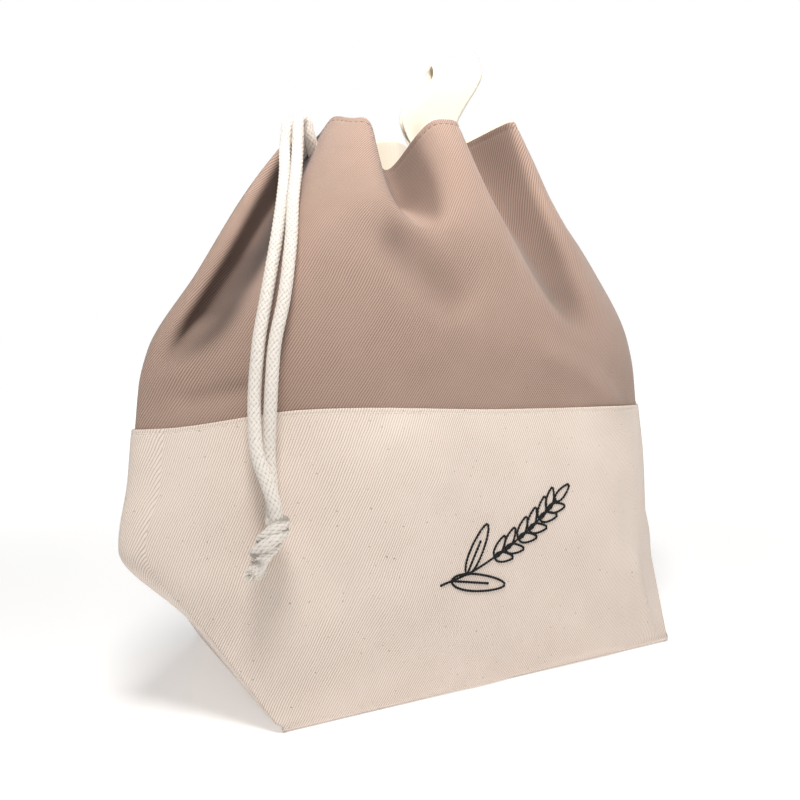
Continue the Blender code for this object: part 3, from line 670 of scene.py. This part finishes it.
def cloth_uv(grid):
    """Distance across from the middle of the panel that each square is in, at both its sides,
    and distance up each column, as arrays of rows by columns."""
    run = run_round(grid)
    front, back = run[:, column_of("front")][:, None], run[:, column_of("back")][:, None]
    middle = np.where(np.arange(ALL)[None] < RIGHT, front, back)
    rise = np.linalg.norm(np.diff(grid, axis=0, prepend=grid[:1]), axis=2)
    up = grid[0, :, 2] + np.cumsum(rise, axis=0)
    return run[:, :-1] - middle, run[:, 1:] - middle, up


HEM_STEPS = 4               # rows of the mesh in the half round of a folded edge


def over_hem(values):
    """Values of the rows of one face, then of its folded edge, then of the face behind it."""
    return np.concatenate([values, np.repeat(values[-1:], HEM_STEPS, axis=0), values[::-1]])


def layer(name, outer, inner, finish, uv, columns=None, hem=HEM_ROUND, foot=False, painted_shade=None):
    """A cloth between its outer and inner face.  Its profile runs up the outer face, over the
    top edge, which stands out by hem as a half round, and down the inner face, and under the
    lower edge where foot is given; the profile goes round the columns, or ends at both."""
    closed = columns is None
    columns = np.arange(ALL) if closed else columns
    turn = np.linspace(0, np.pi, HEM_STEPS + 2)[1:-1, None, None]
    rise = unit(outer[-1] - outer[-2])
    middle, half = (outer[-1] + inner[-1]) / 2, (outer[-1] - inner[-1]) / 2
    over = middle + half * np.cos(turn) + rise * hem * np.sin(turn)
    grid = np.concatenate([outer, over, inner[::-1]])[:, columns]
    left, right, up = (over_hem(part)[:, columns] for part in uv)
    rows, count = grid.shape[:2]
    faces = squares(rows, count, rows_meet=not foot, columns_meet=closed)
    row, column = faces[:, 0] // count, faces[:, 0] % count
    above, beside = (row + 1) % rows, (column + 1) % count
    corner = np.stack([np.stack([left[row, column], up[row, column]], -1),
                       np.stack([right[row, column], up[row, beside]], -1),
                       np.stack([right[above, column], up[above, beside]], -1),
                       np.stack([left[above, column], up[above, column]], -1)], axis=1)
    faces, corner = faces.tolist(), corner.reshape(-1, 2)
    if foot:
        outside = list(range(count - 1, -1, -1))
        inside = list(range((rows - 1) * count, rows * count))
        faces += [outside, inside]
        corner = np.concatenate([corner, grid.reshape(-1, 3)[outside + inside, :2]])
    if not closed:
        low = np.arange(rows // 2 - 1)
        high, facing_high, facing_low = low + 1, rows - 2 - low, rows - 1 - low
        first = np.stack([low, high, facing_high, facing_low], 1) * count
        last = np.stack([low, facing_low, facing_high, high], 1) * count + count - 1
        faces += first.tolist() + last.tolist()
        points = np.concatenate([first, last]).reshape(-1)
        edge = np.stack([left.reshape(-1)[points], up.reshape(-1)[points]], -1)
        corner = np.concatenate([corner, edge])
    shade = None
    # The painted shade deep in the mouth's folds goes on the outer face only; the inner face gets
    # none.
    if painted_shade is not None:
        shade = over_hem(painted_shade)[:, columns]
        shade[-len(painted_shade):] = 0
    return piece_of(name, grid, faces, finish, uv=corner, shade=shade)


def stitched(name, points, along, out, length, radius, finish):
    """Stitches of thread in one mesh: each a rod along its own direction, round in section,
    thinner and sunk into the cloth at its two ends, lying at the given points."""
    across = unit(np.cross(out, along))
    at = np.array([-1, -0.72, 0, 0.72, 1])[:, None]
    girth = np.array([0.35, 0.85, 1, 0.85, 0.35])[:, None] * radius
    sink = np.array([-1.3, -0.2, 0.25, -0.2, -1.3])[:, None] * radius
    turn = np.linspace(0, 2 * np.pi, 6, endpoint=False)[None]
    x = np.broadcast_to(at * length / 2, (5, 6)).reshape(-1)
    y, z = (girth * np.cos(turn)).reshape(-1), (girth * np.sin(turn) + sink).reshape(-1)
    shape = (points[:, None] + along[:, None] * x[:, None] + across[:, None] * y[:, None]
             + out[:, None] * z[:, None])
    return piece_of(name, shape, tube_faces(5, 6, len(points)), finish,
                    shade=np.full(shape.size // 3, 0.9))


def stitch_places(path, out, spacing, closed=False):
    """Points a stitch apart along a path, with the path's direction and the cloth's there."""
    if closed:
        path, out = np.concatenate([path, path[:1]]), np.concatenate([out, out[:1]])
    run = np.append(0, np.cumsum(np.linalg.norm(np.diff(path, axis=0), axis=1)))
    at = (np.arange(int(run[-1] / spacing)) + 0.5) * run[-1] / int(run[-1] / spacing)

    def read(values):
        return np.stack([np.interp(at, run, values[:, axis]) for axis in range(3)], axis=1)

    return read(path), unit(read(np.gradient(path, axis=0))), unit(read(out))


def weave_group():
    """Twill: ribs run aslant up the cloth, each a half round across, notched along by the
    yarns that cross it.  Height goes from 0 in the furrows to 1; Tone varies over the cloth."""
    tree = bpy.data.node_groups.new("twill_weave", "ShaderNodeTree")
    for name, kind in (("Vector", "NodeSocketVector"), ("Pitch", "NodeSocketFloat"),
                       ("Lean", "NodeSocketFloat")):
        tree.interface.new_socket(name, in_out="INPUT", socket_type=kind)
    for name in ("Height", "Tone"):
        tree.interface.new_socket(name, in_out="OUTPUT", socket_type="NodeSocketFloat")
    given = tree.nodes.new("NodeGroupInput").outputs
    result = tree.nodes.new("NodeGroupOutput").inputs

    def term(operation, *values):
        return sum_of(tree, operation, *values)

    wander = node(tree, "ShaderNodeTexNoise", Vector=given["Vector"], Scale=90.0, Detail=1.0)
    slub = node(tree, "ShaderNodeTexNoise", Vector=given["Vector"], Scale=1300.0, Detail=2.0)
    parts = node(tree, "ShaderNodeSeparateXYZ", Vector=given["Vector"])
    cosine, sine = (term(kind, given["Lean"]) for kind in ("COSINE", "SINE"))
    u = term("ADD", parts.outputs["X"], term("MULTIPLY", wander.outputs["Fac"], 0.0012))
    v = parts.outputs["Y"]
    across = term("SUBTRACT", term("MULTIPLY", u, sine), term("MULTIPLY", v, cosine))
    along = term("ADD", term("MULTIPLY", u, cosine), term("MULTIPLY", v, sine))
    rib_at = term("DIVIDE", across, given["Pitch"])
    notch_at = term("MULTIPLY_ADD", term("FLOOR", rib_at), 0.5,
                    term("DIVIDE", along, term("MULTIPLY", given["Pitch"], 1.3)))
    rib = term("ABSOLUTE", term("SINE", term("MULTIPLY", rib_at, np.pi)))
    notch = term("ABSOLUTE", term("SINE", term("MULTIPLY", notch_at, np.pi)))
    notched = term("MULTIPLY_ADD", term("SQRT", notch), 0.3, 0.5)
    height = term("MULTIPLY_ADD", slub.outputs["Fac"], 0.25, term("MULTIPLY", rib, notched))
    tree.links.new(height, result["Height"])
    tree.links.new(slub.outputs["Fac"], result["Tone"])
    return tree


twill_weave = weave_group()
PAINTED_SHADE_COLOUR = (0.10, 0.062, 0.046)     # painted shade: the cloth's colour deep in a fold, as a share of its own colour


def twill_finish(name, colour, furrow, speck, pitch, lean, speck_share, relief):
    """Woven cotton: paler on its ribs than in its furrows, darkened by painted shade down in the
    folds, a few dark seed specks, slightly uneven dye, and the ribs raised by the relief."""
    made = bpy.data.materials.new(name)
    made.use_nodes = True
    tree = made.node_tree
    shader = tree.nodes["Principled BSDF"]
    place = node(tree, "ShaderNodeUVMap", {"uv_map": "cloth"}).outputs["UV"]
    weave = node(tree, "ShaderNodeGroup", {"node_tree": twill_weave},
                 Vector=place, Pitch=pitch, Lean=lean)
    cloudy = node(tree, "ShaderNodeTexNoise", Vector=place, Scale=28.0, Detail=3.0)
    seeds = node(tree, "ShaderNodeTexNoise", Vector=place, Scale=620.0, Detail=1.0)
    tone = sum_of(tree, "MULTIPLY_ADD", cloudy.outputs["Fac"], 0.35,
                  sum_of(tree, "MULTIPLY", weave.outputs["Height"], 0.9))
    seed = node(tree, "ShaderNodeMapRange", Value=seeds.outputs["Fac"], in_1=1 - speck_share,
                in_2=1.04 - speck_share, in_3=0.0, in_4=0.55)
    mixed = node(tree, "ShaderNodeMix", {"data_type": "RGBA"}, in_0=seed.outputs[0],
                 in_6=ramped(tree, tone, furrow, 0.25, colour, 0.8), in_7=(*speck, 1.0))
    # Painted shade: the attribute furrow multiplies the colour down to the fold shade colour deep
    # in the mouth's folds.
    painted_shade_share = node(tree, "ShaderNodeAttribute", {"attribute_name": "furrow"}).outputs["Fac"]
    deep = node(tree, "ShaderNodeMix", {"data_type": "RGBA", "blend_type": "MULTIPLY"},
                in_0=painted_shade_share, in_6=mixed.outputs[2], in_7=(*PAINTED_SHADE_COLOUR, 1.0))
    bump = node(tree, "ShaderNodeBump", Strength=0.8, Distance=relief,
                Height=weave.outputs["Height"])
    tree.links.new(deep.outputs[2], shader.inputs["Base Color"])
    tree.links.new(bump.outputs["Normal"], shader.inputs["Normal"])
    shader.inputs["Roughness"].default_value = 0.9
    shader.inputs["Sheen Weight"].default_value = 0.15
    shader.inputs["Sheen Roughness"].default_value = 0.5
    return made


CREAM_COLOUR, CREAM_FURROW = (0.87, 0.75, 0.665), (0.44, 0.345, 0.28)
THREAD_FIBRES = 5000.0      # how fine the fibres of any sewing thread are
SEAM_PULL = 0.28 * MM       # how deep the topstitching draws the cloth in
SEAM_STITCHES = -5          # row of the wall that it runs along, counted from the folded edge
cream_twill = twill_finish("cream_twill", CREAM_COLOUR, CREAM_FURROW, (0.16, 0.11, 0.07),
                           1.08 * MM, np.radians(63), 0.27, 0.18 * MM)
lower_rows = np.append(rows_of((0.12, 3.6, 52), (3.6, 3.9, 8)),
                       [3.9, 3.92, 3.94, 3.955, 3.97, 3.985, SEAM_ROW])
base_edge = bag_cloth(np.array([0.0]))[0]
base_out = plan_normal(base_edge[None])[0]
turn = np.radians([0, 22, 45, 68, 90])[:, None, None]
fold = (base_edge + base_out * BASE_ROUND * (np.sin(turn) - 1)
        + np.array([0, 0, BASE_ROUND]) * (1 - np.cos(turn)))
wall = np.concatenate([fold, bag_cloth(lower_rows)])
wall_out = outward(wall)
pull = np.append(np.zeros(len(fold)), SEAM_PULL * np.exp(-((lower_rows - 3.945) / 0.018) ** 2))
inside = set_in(wall, np.full(len(wall), CLOTH))
inside[..., 2] = np.maximum(inside[..., 2], 0.9 * CLOTH)     # over the base, also in its corners
lower = layer("lower_cloth_twill", wall - wall_out * pull[:, None, None], inside, cream_twill,
              cloth_uv(wall), foot=True)
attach(lower, "root")
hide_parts("lower_cloth")

cream_thread = fibre_finish("cream_thread", (0.78, 0.70, 0.60), (0.5, 0.42, 0.33), THREAD_FIBRES)
seam_path, seam_out = wall[SEAM_STITCHES], wall_out[SEAM_STITCHES]
places = stitch_places(seam_path - seam_out * 0.2 * MM, seam_out, 2.9 * MM, closed=True)
seam_stitches = stitched("seam_stitches", *places, 2.2 * MM, 0.26 * MM, cream_thread)
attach(seam_stitches, "root")

# ---------------------------------------------------------------- embroidered sprig
# An ear of wheat with two leaves, in black thread on the front of the lower cloth: lines of
# short machine stitches, laid over each other end to end.
SPRIG_STITCH, STITCH_SPACING = 2.1 * MM, 1.5 * MM
THREAD_RADIUS = 0.6 * MM
STEM = [(-40, 53), (-24, 56), (-6, 63), (12, 73), (27, 84)]     # across and up, in millimetres
STEM_POINTS = 60
# Each leaf: its point of the stem, heading in degrees, length, half width, and its vein's reach.
LEAVES = ((6, -12, 31, 4.4, (21, -4.4)), (14, 62, 24, 4.0, (7.6, 14.3)))
FIELD_ROWS = slice(12, 60)  # rows of the wall that the sprig lies on


def leaf_line(root, heading, length, half, tip=0.5):
    """A closed leaf or grain outline: along it half the length times one less a cosine, across
    it a sine, narrowed towards its tip."""
    s = np.linspace(0, 2 * np.pi, 60)
    along, across = length * (1 - np.cos(s)) / 2, half * np.sin(s) * (1 - tip * (1 - np.cos(s)) / 2)
    c, d = np.cos(np.radians(heading)), np.sin(np.radians(heading))
    return np.stack([root[0] + along * c - across * d, root[1] + along * d + across * c], axis=1)


stem = along_rows(np.array(STEM, float), np.linspace(0, len(STEM) - 1, STEM_POINTS))
sprig = [stem]
for share in np.linspace(0.46, 0.93, 6):     # a pair of grains at each of six places
    at = int(share * (STEM_POINTS - 1))
    root = stem[at]
    lean = np.degrees(np.arctan2(*(stem[min(at + 2, STEM_POINTS - 1)] - root)[::-1]))
    sprig += [leaf_line(root, lean + side * 34, 10.5, 2.9) for side in (1, -1)]
sprig.append(leaf_line(stem[-1], lean, 11, 2.8))
sprig += [leaf_line(stem[at], heading, length, half, 0.3)
          for at, heading, length, half, _ in LEAVES]
sprig += [np.array([stem[at], stem[at] + vein]) for at, *_, vein in LEAVES]

# Each line is laid on the cloth: every point of it goes to the wall's nearest mesh point, and
# on from there in the cloth's own plane.
field = (FIELD_ROWS, slice(column_of("front_left"), column_of("front_right")))
field_points, field_out = wall[field].reshape(-1, 3), wall_out[field].reshape(-1, 3)
field_flat = np.stack([(cloth_uv(wall)[0] / MM)[field], wall[field][..., 2] / MM], axis=-1)
field_flat = field_flat.reshape(-1, 2)
sewn = []
for line in sprig:
    fine = along_rows(line, np.linspace(0, len(line) - 1, 8 * len(line)))
    near = ((fine[:, None] - field_flat[None]) ** 2).sum(axis=2).argmin(axis=1)
    off = (fine - field_flat[near]) * MM
    out = field_out[near]
    right = unit(np.cross((0, 0, 1.0), out))
    right = right * np.sign(right[:, :1])
    rise = unit(np.cross(out, right))
    rise = rise * np.sign(rise[:, 2:3])
    surface = (field_points[near] + right * off[:, :1]
               + rise * off[:, 1:] / np.maximum(rise[:, 2:3], 0.5))
    sewn.append(stitch_places(surface, out, STITCH_SPACING))
black_thread = fibre_finish("black_thread", (0.009, 0.009, 0.009), (0.004, 0.004, 0.004),
                            THREAD_FIBRES, sheen=0.0)
embroidery = stitched("embroidered_sprig", *(np.concatenate(part) for part in zip(*sewn)),
                      SPRIG_STITCH, THREAD_RADIUS, black_thread)
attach(embroidery, "root")

# ---------------------------------------------------------------- front and back panels
# Taupe twill, doubled, each a panel from the cream seam up to the mouth, joined to each other
# at the side seams; the folded top edge is topstitched to the facing.
GAP = 0.35 * MM             # clear space between two cloths
LAYER = CLOTH + GAP
SIDE_GAP = 0.05 * MM        # between the panels and their side seam's middle
OVERLAP_ROW = 3.65          # where the taupe ends, behind the cream cloth
CLEAR_ROW = 4.8             # where the taupe has come out from behind it
RIM_ROW = 8.0
RIM_PULL = 0.3 * MM         # how deep the topstitching draws the rim in
RIM_STITCHES = -4           # row of the panels that it runs along, counted from the rim
HOLLOW_FROM, HOLLOW_OVER = 0.5, 6.5     # millimetres of a fold's depth, over which the painted shade comes in
TAUPE_COLOUR, TAUPE_FURROW = (0.44, 0.306, 0.243), (0.145, 0.089, 0.066)


def behind_band(rows):
    """How far the taupe's outer face is set in, row by row: a layer deep behind the cream."""
    return LAYER * (1 - smooth((rows - SEAM_ROW) / (CLEAR_ROW - SEAM_ROW)))


def painted_shade_in_valleys(rows, out):
    """Painted shade for each point, 0 to 1, by how deep it lies in a valley of the mouth: its depth
    there, and part of its dent by a crease, from HOLLOW_FROM on and over HOLLOW_OVER.  The shade
    is less where the cloth faces up towards the lamps, and less to the right of the left valley,
    where the others open wide."""
    named = along_rows(np.array([section_points(row) for row in SECTIONS]), rows)
    grid = around(named, np.zeros((len(rows), len(COLUMNS), 1)), [count for _, count in COLUMNS])
    front, back = measured_across(grid)
    depth = np.linalg.norm(gathered(front, back, grid[..., 2])[..., :2], axis=2) / MM
    dent = np.maximum(-creased(front, back, grid[..., 2]), 0) / MM
    wide_open = 1 - 0.55 * smooth((front / MM + 60) / 25)
    facing_up = smooth((out[..., 2] - 0.5) / 0.35)
    return smooth((depth + 0.7 * dent - HOLLOW_FROM) / HOLLOW_OVER) * wide_open * (1 - facing_up)


taupe_twill = twill_finish("taupe_twill", TAUPE_COLOUR, TAUPE_FURROW, (0.12, 0.08, 0.06),
                           1.03 * MM, np.radians(55), 0.22, 0.19 * MM)
upper_rows = np.append(rows_of((OVERLAP_ROW, SEAM_ROW, 4), (SEAM_ROW, CLEAR_ROW, 16),
                               (CLEAR_ROW, 7.84, 60)),
                       [7.84, 7.87, 7.895, 7.92, 7.945, 7.97, RIM_ROW])
upper = bag_cloth(upper_rows)
upper_depth = behind_band(upper_rows)
upper_out = outward(upper)
rim_pull = RIM_PULL * np.exp(-((upper_rows - 7.92) / 0.025) ** 2)
panel_outer = set_in(upper, upper_depth + rim_pull)
panel_inner = set_in(upper, upper_depth + CLOTH)
for name, columns in (("front_panel", np.arange(LEFT, RIGHT + 1)),
                      ("back_panel", np.append(np.arange(RIGHT, ALL), LEFT))):
    faces = []
    for face in (panel_outer.copy(), panel_inner.copy()):
        for end, beside in ((columns[0], columns[1]), (columns[-1], columns[-2])):
            face[:, end] += unit(face[:, beside] - face[:, end]) * SIDE_GAP
        faces.append(face)
    panel = layer(name + "_twill", *faces, taupe_twill, cloth_uv(upper), columns=columns,
                  painted_shade=painted_shade_in_valleys(upper_rows, upper_out))
    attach(panel, "root")
    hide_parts(name)
brown_thread = fibre_finish("brown_thread", (0.20, 0.12, 0.075), (0.09, 0.05, 0.03), THREAD_FIBRES)
places = stitch_places(panel_outer[RIM_STITCHES], upper_out[RIM_STITCHES], 3.0 * MM, closed=True)
rim_stitches = stitched("rim_stitches", *places, 2.1 * MM, 0.24 * MM, brown_thread)
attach(rim_stitches, "root")

# ---------------------------------------------------------------- lining
# Cream cotton facing inside the mouth, down to the seam; its top edge rolls a little over the
# taupe, so a cream line shows along the rim.
LINING_COLOUR, LINING_FURROW = (0.90, 0.82, 0.69), (0.76, 0.66, 0.53)
LINING_ROLL = 0.4 * MM      # of its top edge
cotton_finish = twill_finish("cream_cotton", LINING_COLOUR, LINING_FURROW, (0.3, 0.2, 0.12),
                             0.55 * MM, np.radians(90), 0.2, 0.06 * MM)
lining_rows = np.append(upper_rows[4:], 8.04)    # from the seam to a little above the rim
lining_face = bag_cloth(lining_rows)
lining_depth = behind_band(lining_rows) + LAYER
lining_faces = [set_in(lining_face, lining_depth + more) for more in (0, CLOTH)]
lining = layer("lining_cotton", *lining_faces, cotton_finish, cloth_uv(lining_face),
               hem=LINING_ROLL)
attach(lining, "root")
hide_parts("lining")

# ---------------------------------------------------------------- hanging loop
# A doubled cotton strip, sewn by both its ends to the facing inside the back of the mouth, so
# that it stands up as a loop, one leg behind the other.
LOOP_FIRST, LOOP_LAST = 1, 6    # columns beyond the back's right shoulder that it is sewn to
LOOP_LEGS = 3.0 * MM        # between its two legs there
LOOP_WIDTH, LOOP_LENGTH = 0.034, 0.17
LOOP_STEPS = 10             # of the mesh from one row of LOOP to the next
# One row for each level of the strip over its bend: its right and left edge, in millimetres.
LOOP = [
    dict(name="back leg", right=(43, 50, 291), left=(6, 50, 287)),
    dict(name="back of the bend", right=(56, 52, 320), left=(24, 52, 314)),
    dict(name="top", right=(53, 47, 334), left=(25, 47, 320)),
    dict(name="front of the bend", right=(57, 41, 319), left=(23, 41, 311)),
    dict(name="front leg", right=(43, 45, 291), left=(5, 44, 287)),
]
# The strip is a cubic through one sewn leg, the rows of its bend and the other leg; its second
# face lies a cloth's thickness off the first, square to it.
foot = bag_cloth(np.array([7.5, RIM_ROW]))
first, last = [column_of("back_right") + more * FINE for more in (LOOP_FIRST, LOOP_LAST)]
legs = [set_in(foot, np.full(2, LAYER + CLOTH + GAP + more))[:, first:last + 1]
        for more in (0, LOOP_LEGS)]
across = np.linspace(0, 1, last + 1 - first)[:, None]
bend = [(np.array(row["right"]) * (1 - across) + np.array(row["left"]) * across) * MM
        for row in LOOP]
loop_rows = np.array([*legs[0], *bend, *legs[1][::-1]])
loop_at = np.linspace(0, len(loop_rows) - 1, (len(loop_rows) - 1) * LOOP_STEPS + 1)
loop_grid = along_rows(loop_rows, loop_at)
loop_out = unit(np.cross(np.gradient(loop_grid, axis=1), np.gradient(loop_grid, axis=0)))
rows, columns = loop_grid.shape[:2]
both = np.concatenate([loop_grid, (loop_grid - loop_out * CLOTH)[:, ::-1]], axis=1)
faces = tube_faces(rows, 2 * columns)
width_at = np.tile(np.append(across, across[::-1]) * LOOP_WIDTH, (rows, 1))
length_at = np.tile(np.linspace(0, LOOP_LENGTH, rows)[:, None], (1, 2 * columns))
numbers = np.concatenate([np.array(face) for face in faces])
loop_uv = np.stack([width_at.reshape(-1)[numbers], length_at.reshape(-1)[numbers]], -1)
loop = piece_of("hanging_loop_cotton", both, faces, cotton_finish, uv=loop_uv)
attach(loop, "root")
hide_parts("hanging_loop")
